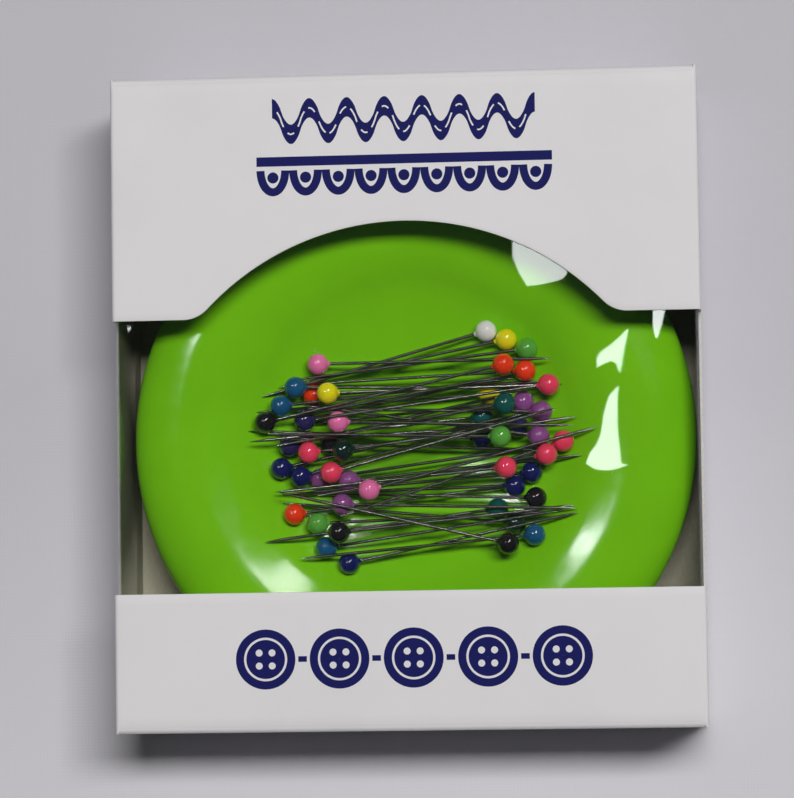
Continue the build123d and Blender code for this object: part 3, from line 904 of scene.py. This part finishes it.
# ================================================================== print on the front, generic sewing notions
class Print:
    """Printed shapes, each a thin closed layer that follows the front panel."""

    def __init__(self, lift):
        self.lift = lift
        self.verts, self.faces = [], []

    def _add(self, p, off):
        x, y = float(p[0]), float(p[1])
        self.verts.append((x, y, front_z(x, y) + off))
        return len(self.verts) - 1

    def band(self, left, right, closed=False):
        """The area between two lines with the same number of points."""
        lift, sink = self.lift, -0.03
        lt = [self._add(p, lift) for p in left]
        rt = [self._add(p, lift) for p in right]
        lb = [self._add(p, sink) for p in left]
        rb = [self._add(p, sink) for p in right]
        n = len(lt)
        F = self.faces
        for k in range(n if closed else n - 1):
            k2 = (k + 1) % n
            F.append((lt[k], rt[k], rt[k2], lt[k2]))
            F.append((lb[k], lb[k2], rb[k2], rb[k]))
            F.append((lt[k], lt[k2], lb[k2], lb[k]))
            F.append((rt[k], rb[k], rb[k2], rt[k2]))
        if not closed:
            F.append((lt[0], lb[0], rb[0], rt[0]))
            F.append((lt[-1], rt[-1], rb[-1], lb[-1]))

    def stroke(self, points, width, closed=False):
        P = [np.array(p, float) for p in points]
        n = len(P)
        left, right = [], []
        for i, p in enumerate(P):
            a, b = (P[(i - 1) % n], P[(i + 1) % n]) if closed else (P[max(0, i - 1)], P[min(n - 1, i + 1)])
            d = (b - a) / np.linalg.norm(b - a)
            nn = np.array([-d[1], d[0]])
            left.append(p + nn * width / 2)
            right.append(p - nn * width / 2)
        self.band(left, right, closed)

    def ring(self, c, r_in, r_out, steps=72):
        A = [2 * math.pi * k / steps for k in range(steps)]
        self.band([(c[0] + r_out * math.cos(a), c[1] + r_out * math.sin(a)) for a in A],
                  [(c[0] + r_in * math.cos(a), c[1] + r_in * math.sin(a)) for a in A], True)

    def disc(self, c, r, steps=36):
        top = [self._add((c[0] + r * math.cos(2 * math.pi * k / steps), c[1] + r * math.sin(2 * math.pi * k / steps)),
                         self.lift) for k in range(steps)]
        bot = [self._add((c[0] + r * math.cos(2 * math.pi * k / steps), c[1] + r * math.sin(2 * math.pi * k / steps)),
                         -0.03) for k in range(steps)]
        ct, cb = self._add(c, self.lift), self._add(c, -0.03)
        for k in range(steps):
            k2 = (k + 1) % steps
            self.faces += [(ct, top[k], top[k2]), (cb, bot[k2], bot[k]), (top[k], bot[k], bot[k2], top[k2])]

    def build(self, name, mat):
        ob = make(name, self.verts, self.faces, [mat], smooth=False)
        outward(ob)
        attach(ob, "carton")
        return ob


# upper row: rickrack braid with a thread line through it
braid = Print(0.022)
x0, x1, yc, waves = -23.2, 23.8, 50.2, 7
top, bot = [], []
for k in range(waves * 32 + 1):
    t = k / (waves * 32)
    c = math.cos(2 * math.pi * waves * t)
    s = (abs(c) ** 0.8) * (1 if c > 0 else -1)
    x = x0 + (x1 - x0) * t
    top.append((x, yc + 2.35 * s + 1.75))
    bot.append((x, yc + 2.35 * s - 1.75))
braid.band(top, bot)
braid.build("print_rickrack", MAT["ink"])
thread = Print(0.034)
for k in range(24):
    xa = x0 + 0.9 + (x1 - x0 - 1.8) * k / 24
    xb = xa + 1.15
    thread.stroke([(xa + (xb - xa) * q / 4, yc + 2.35 * (abs(math.cos(2 * math.pi * waves * (xa + (xb - xa) * q / 4 - x0) / (x1 - x0))) ** 0.8)
                    * (1 if math.cos(2 * math.pi * waves * (xa + (xb - xa) * q / 4 - x0) / (x1 - x0)) > 0 else -1)) for q in range(5)], 0.28)
thread.build("print_rickrack_stitch", MAT["board"])

# second row: scalloped trim
trim = Print(0.022)
x0, x1, n = -26.1, 26.7, 9
pitch = (x1 - x0) / n
trim.stroke([(x0 + (x1 - x0) * k / 60, 43.0) for k in range(61)], 1.7)
for i in range(n):
    cx = x0 + pitch * (i + 0.5)
    rr = pitch / 2 - 0.72
    trim.stroke([(cx + rr * math.cos(a), 41.4 + rr * 1.75 * math.sin(a)) for a in np.linspace(math.pi, 2 * math.pi, 33)], 1.45)
    trim.disc((cx, 40.1), 1.0)
trim.build("print_scalloped_trim", MAT["ink"])

# lower row: four-hole buttons on a running stitch
buttons, holes = Print(0.022), Print(0.034)
x0, x1, yc, n, rb = -30.8, 32.4, -45.6, 5, 5.3
pitch = (x1 - x0 - 2 * rb) / (n - 1)
for i in range(n):
    cx = x0 + rb + pitch * i
    buttons.ring((cx, yc), 0.02, rb)
    holes.ring((cx, yc), 3.45, 3.85, 60)
    for sx in (-1, 1):
        for sy in (-1, 1):
            holes.disc((cx + 1.15 * sx, yc + 1.15 * sy), 0.62, 24)
    if i < n - 1:
        gap = pitch - 2 * rb
        buttons.stroke([(cx + rb + gap * 0.2, yc), (cx + rb + gap * 0.8, yc)], 1.0)
buttons.build("print_buttons", MAT["ink"])
holes.build("print_button_holes", MAT["board"])


# ================================================================== dish
crest_r = DISH_R - RIM_R
r1 = (crest_r - (BOWL_R2 + RIM_IN_R) * math.sin(BOWL_A2)) / (1 - BOWL_R2 / BOWL_R1)
a1 = math.asin(r1 / BOWL_R1)
z1 = FLOOR_Z + BOWL_R1 * (1 - math.cos(a1))
c2 = (r1 - BOWL_R2 * math.sin(a1), z1 + BOWL_R2 * math.cos(a1))
r2, z2 = c2[0] + BOWL_R2 * math.sin(BOWL_A2), c2[1] - BOWL_R2 * math.cos(BOWL_A2)
c3 = (r2 + RIM_IN_R * math.sin(BOWL_A2), z2 - RIM_IN_R * math.cos(BOWL_A2))
RIM_Z = c3[1] + RIM_IN_R
rim_az = RIM_Z - GIRTH_Z


def upper_line(off, n1, n2, n3):
    out = []
    for i in range(n1 + 1):
        a = a1 * i / n1
        out.append(((BOWL_R1 + off) * math.sin(a), FLOOR_Z + BOWL_R1 - (BOWL_R1 + off) * math.cos(a)))
    for i in range(1, n2 + 1):
        a = a1 + (BOWL_A2 - a1) * i / n2
        out.append((c2[0] + (BOWL_R2 + off) * math.sin(a), c2[1] - (BOWL_R2 + off) * math.cos(a)))
    for i in range(1, n3 + 1):
        a = BOWL_A2 * (1 - i / n3)
        out.append((c3[0] - (RIM_IN_R - off) * math.sin(a), c3[1] + (RIM_IN_R - off) * math.cos(a)))
    return out


def rim_line(off, n):
    out = []
    for i in range(1, n + 1):
        a = i / n * math.pi / 2
        out.append((crest_r + (RIM_R - off) * math.sin(a), GIRTH_Z + (rim_az - off) * math.cos(a)))
    return out


def dish_profile():
    lowc = (DISH_R - UNDER_R, GIRTH_Z)
    out = upper_line(0.0, 16, 18, 14) + rim_line(0.0, 22)
    for i in range(1, 19):
        a = i / 18 * math.pi / 2
        out.append((lowc[0] + UNDER_R * math.cos(a), lowc[1] - UNDER_R * math.sin(a)))
    zl = GIRTH_Z - UNDER_R
    out += [(lowc[0], zl + 0.15), (lowc[0], zl + WALL - 0.15)]
    ru = UNDER_R - WALL
    inner = []
    for i in range(0, 19):
        a = math.pi / 2 * (1 - i / 18)
        inner.append((lowc[0] + ru * math.cos(a), lowc[1] - ru * math.sin(a)))
    inner += [(r, z) for r, z in reversed(rim_line(WALL, 22))][1:]
    inner += [(r, z) for r, z in reversed(upper_line(WALL, 16, 18, 14))]
    out += inner
    return out


dish = lathe("dish", dish_profile(), 224, MAT["dish"], (CX, CY, 0), 50)
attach(dish, "cushion")
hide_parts("dish_shell")

# locating ring and screw bosses under the floor
ring_top = [(21.9 + 2.0, 14.0), (22.2, 13.8)]
ring = lathe("dish_locating_ring", [(22.2, 5.6), (23.4, 5.6), (23.7, 5.9), (23.7, 14.2), (22.2, 13.6)], 120, MAT["base"],
             (CX, CY, 0), 30)
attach(ring, "cushion")
for _i, _a in enumerate((90, 210, 330)):
    bx, by = 29 * math.cos(math.radians(_a)), 29 * math.sin(math.radians(_a))
    boss = lathe(f"dish_screw_boss_{_i + 1}", [(1.5, 4.4), (3.2, 4.4), (3.5, 4.7), (3.6, 15.2), (1.5, 15.2)], 36,
                 MAT["base"], (CX + bx, CY + by, 0), 30)
    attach(boss, "cushion")


# ================================================================== rubber feet, foam
def foot(name, x, y):
    r = 4.5
    prof = [(0.0, 0.7), (3.2, 0.7)]
    for k in range(1, 7):
        a = -math.pi / 2 + math.pi / 2 * k / 6
        prof.append((3.7 + 0.8 * math.cos(a), 1.5 + 0.8 * math.sin(a)))
    prof += [(4.5, 2.0), (0.0, 2.0)]
    ob = lathe(name, prof, 40, MAT["rubber"], (x, y, 0), 40)
    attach(ob, "cushion")
    return ob


for _i, _a in enumerate((30, 150, 270)):
    fx, fy = 29 * math.cos(math.radians(_a)), 29 * math.sin(math.radians(_a))
    foot(f"rubber_foot_{_i + 1}", CX + fx, CY + fy)
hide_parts("rubber_feet")

foam_lo, foam_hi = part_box("foam_pad")
fz0, fz1 = foam_lo.z / MM, foam_hi.z / MM
fr = (foam_hi.x - foam_lo.x) / MM / 2
prof = [(0.0, fz0 + 0.01), (fr - 0.7, fz0 + 0.01)]
for k in range(0, 9):
    a = -math.pi / 2 + math.pi * k / 8
    prof.append((fr - 0.45 + 0.45 * math.cos(a), (fz0 + fz1) / 2 + ((fz1 - fz0) / 2 - 0.01) * math.sin(a)))
prof += [(fr - 0.7, fz1 - 0.01), (0.0, fz1 - 0.01)]
foam = lathe("foam_disc", prof, 96, MAT["foam"], (CX, CY, 0), 40)
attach(foam, "cushion")
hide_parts("foam_pad")

# ================================================================== pins
rng_state = np.random.RandomState(7)


def frame_of(d):
    d = np.array(d) / np.linalg.norm(d)
    up = np.array([0, 0, 1.0]) if abs(d[2]) < 0.9 else np.array([1.0, 0, 0])
    x = np.cross(up, d)
    x /= np.linalg.norm(x)
    y = np.cross(d, x)
    return x, y, d


def head_profile():
    out = [(0.0, -HEAD_R)]
    end = math.asin(0.62 / HEAD_R)
    n = 22
    for k in range(1, n + 1):
        a = (math.pi - end) * k / n
        out.append((HEAD_R * math.sin(a), -HEAD_R * math.cos(a)))
    # small collar where the wire leaves the ball
    zc = HEAD_R * math.cos(end)
    out += [(0.54, zc + 0.09), (0.43, zc + 0.24), (0.37, zc + 0.36), (0.33, zc + 0.40), (0.0, zc + 0.40)]
    return out


def shaft_profile():
    z1 = PIN_L - POINT_L
    out = [(0.0, 0.6), (SHAFT_R, 0.6), (SHAFT_R, 4.0), (SHAFT_R, 14.0), (SHAFT_R, 26.0), (SHAFT_R, z1)]
    for t, f in ((0.2, 0.94), (0.4, 0.82), (0.6, 0.64), (0.75, 0.46), (0.88, 0.27), (0.96, 0.12)):
        out.append((SHAFT_R * f, z1 + POINT_L * t))
    out.append((0.0, PIN_L))
    return out


def many(profile, segs, places):
    base, faces = lathe_mesh(profile, segs)
    base = np.array(base)
    V, F = [], []
    for h, t in places:
        x, y, d = frame_of(np.array(t, float) - np.array(h, float))
        M = np.column_stack([x, y, d])
        pts = base @ M.T + np.array(h, float)
        off = len(V)
        V += [tuple(p) for p in pts]
        F += [tuple(i + off for i in f) for f in faces]
    return V, F


v, f = many(shaft_profile(), 14, [(h, t) for _, h, t in PINS])
shafts = make("pin_wires", v, f, [MAT["pin"]])
outward(shafts)
sharp_by_angle(shafts, 60)
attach(shafts, "pin_heap")
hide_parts("pin_shafts")

for colour, rgb in HEADS.items():
    places = [(h, t) for c, h, t in PINS if c == colour]
    v, f = many(head_profile(), 40, places)
    ob = make("ball_heads_" + colour, v, f, [head_plastic(colour, rgb)])
    outward(ob)
    sharp_by_angle(ob, 60)
    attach(ob, "pin_heap")
    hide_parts("pin_heads_" + colour)

# ================================================================== CAD nodes that stay
for node, key in (("base_cover", "base"), ("magnet_disc", "ferrite"), ("magnet_backing_plate", "plate"),
                  ("base_screws", "screw")):
    ob = NODES[node]
    ob.data.materials.clear()
    ob.data.materials.append(MAT[key])


# ================================================================== floor, light, camera
def stage_plane(name, size, z, mat):
    s = size / 2
    me = bpy.data.meshes.new(name)
    me.from_pydata([(-s, -s, z), (s, -s, z), (s, s, z), (-s, s, z)], [], [(0, 1, 2, 3)])
    me.materials.append(mat)
    ob = bpy.data.objects.new(name, me)
    scene.collection.objects.link(ob)
    return ob


stage_plane("floor", 6.0, -0.0004, cloth_floor())

world = bpy.data.worlds.new("studio")
scene.world = world
world.use_nodes = True
bg = world.node_tree.nodes["Background"]
bg.inputs["Color"].default_value = (0.93, 0.94, 1.0, 1.0)
bg.inputs["Strength"].default_value = 0.035


def area(name, loc, aim, size, power, colour=(1, 1, 1), roll=0.0):
    li = bpy.data.lights.new(name, "AREA")
    li.shape = "RECTANGLE"
    li.size, li.size_y = size
    li.energy = power
    li.color = colour
    ob = bpy.data.objects.new(name, li)
    scene.collection.objects.link(ob)
    ob.location = loc
    d = np.array(loc, float) - np.array(aim, float)
    d /= np.linalg.norm(d)
    x = np.cross([0, 1.0, 0], d)
    x /= np.linalg.norm(x)
    y = np.cross(d, x)
    c, w = math.cos(math.radians(roll)), math.sin(math.radians(roll))
    x, y = c * x + w * y, c * y - w * x
    ob.matrix_world = Matrix([[x[0], y[0], d[0], loc[0]], [x[1], y[1], d[1], loc[1]], [x[2], y[2], d[2], loc[2]], [0, 0, 0, 1]])
    ob.visible_camera = False
    return ob


def toward(tx, ty, dist, height=0.02):
    """A point at this distance from the object, leaning tx, ty degrees from straight up."""
    d = np.array([math.tan(math.radians(tx)), math.tan(math.radians(ty)), 1.0])
    d /= np.linalg.norm(d)
    return tuple(d * dist + np.array([0, 0, height]))


# a wide window gives the light and the shadows, two smaller panes the highlights
wide = area("strip_right", toward(12.5, 12.3, 2.4), (0, 0, 0.02), (1.16, 0.38), 45.5, (1.0, 0.995, 0.99))
wide.visible_glossy = False
pane = area("lamp_right", toward(15.3, 25.4, 2.4), (0, 0, 0.02), (1.25, 0.29), 20.4, (1.0, 0.99, 0.98), 46.0)
pane.visible_diffuse = False
pane = area("lamp_left", toward(-22.6, 14.9, 2.4), (0, 0, 0.02), (0.68, 0.15), 9.6, (0.97, 0.98, 1.0), 148.0)
pane.visible_diffuse = False

cam_data = bpy.data.cameras.new("camera")
cam = bpy.data.objects.new("camera", cam_data)
scene.collection.objects.link(cam)
scene.camera = cam
cam_data.sensor_width = 36.0
cam_data.sensor_fit = "AUTO"
cam_data.lens = 3598.2 / 798.0 * 36.0
cam_data.clip_start, cam_data.clip_end = 0.01, 20.0
cam_data.dof.use_dof = False
rx, ry, rz = 0.06221, 0.08554, -0.01441
Rx = np.array([[1, 0, 0], [0, math.cos(rx), -math.sin(rx)], [0, math.sin(rx), math.cos(rx)]])
Ry = np.array([[math.cos(ry), 0, math.sin(ry)], [0, 1, 0], [-math.sin(ry), 0, math.cos(ry)]])
Rz = np.array([[math.cos(rz), -math.sin(rz), 0], [math.sin(rz), math.cos(rz), 0], [0, 0, 1]])
R = Rz @ Ry @ Rx
C = (0.052308, -0.040295, 0.665352)
cam.matrix_world = Matrix([[R[0, 0], R[0, 1], R[0, 2], C[0]], [R[1, 0], R[1, 1], R[1, 2], C[1]],
                           [R[2, 0], R[2, 1], R[2, 2], C[2]], [0, 0, 0, 1]])


# ---- bright openings of the room that the window film mirrors: small glowing cards above the camera
def glow(name, strength):
    m = bpy.data.materials.new(name)
    m.use_nodes = True
    nt = m.node_tree
    nt.nodes.remove(nt.nodes["Principled BSDF"])
    em = nt.nodes.new("ShaderNodeEmission")
    em.inputs["Color"].default_value = (0.97, 1.0, 0.97, 1.0)
    # seen off the two faces of the film, but not through the film off what lies behind it
    path = nt.nodes.new("ShaderNodeLightPath")
    first = nt.nodes.new("ShaderNodeMath")
    first.operation = "LESS_THAN"
    first.inputs[1].default_value = 2.5
    nt.links.new(path.outputs["Transparent Depth"], first.inputs[0])
    nt.links.new(span(nt, first.outputs["Value"], 0.0, strength), em.inputs["Strength"])
    nt.links.new(em.outputs["Emission"], nt.nodes["Material Output"].inputs["Surface"])
    return m


def film_card(name, outline, strength, height=1.0):
    """A card whose reflection in the film covers this outline (X and Y on the film, millimetres)."""
    eye = np.array(C)
    pts = []
    for x, y in outline:
        e = 0.05
        gx = (film_height(x + e, y) - film_height(x - e, y)) / (2 * e)
        gy = (film_height(x, y + e) - film_height(x, y - e)) / (2 * e)
        n = np.array([-gx, -gy, 1.0])
        n /= np.linalg.norm(n)
        p = np.array([x, y, D - BOARD - 0.02 + film_height(x, y)]) * MM
        d = (p - eye) / np.linalg.norm(p - eye)
        r = d - 2 * (d @ n) * n
        pts.append(p + r * (height - p[2]) / r[2])
    me = bpy.data.meshes.new(name)
    me.from_pydata([tuple(q) for q in pts], [], [tuple(range(len(pts)))])
    me.materials.append(glow(name, strength))
    ob = bpy.data.objects.new(name, me)
    scene.collection.objects.link(ob)
    ob.visible_camera = False
    ob.visible_diffuse = False
    ob.visible_shadow = False
    return ob


film_card("card_a", [(19.7, 28.74), (19.37, 27.32), (19.39, 25.0), (20.47, 22.13), (21.86, 19.78), (24.16, 20.0), (26.65, 20.48), (28.26, 20.97), (28.98, 21.85), (27.8, 25.17), (24.3, 28.28)], 7.2)
film_card("card_b", [(39.66, 11.91), (36.66, 9.11), (34.57, 7.81), (33.96, 6.51), (33.96, 5.01), (35.06, 5.61), (36.56, 6.21), (37.35, 5.62), (38.05, 3.92), (38.76, 7.72)], 8.6)
film_card("card_c", [(37.74, 1.82), (35.94, -0.08), (34.94, -3.58), (34.43, -6.67), (33.73, -8.47), (32.52, -9.98), (31.72, -11.88), (33.41, -12.97), (35.51, -13.17), (37.41, -12.86), (39.2, -12.26), (38.11, -12.06), (37.91, -11.56), (37.81, -10.06), (37.42, -5.27), (37.54, -0.47)], 8.6)
film_card("card_d", [(44.06, 15.42), (46.36, 15.73), (45.55, 12.53), (44.75, 10.03), (44.35, 10.13), (43.96, 12.23)], 9.4)

film_card("card_e", [(-51.43, 15.05), (-50.89, 15.04), (-49.09, 13.84), (-49.55, 13.22), (-50.54, 13.78)], 7.9)

scene.view_settings.view_transform = "Standard"
scene.view_settings.look = "None"
scene.view_settings.exposure = 0.0
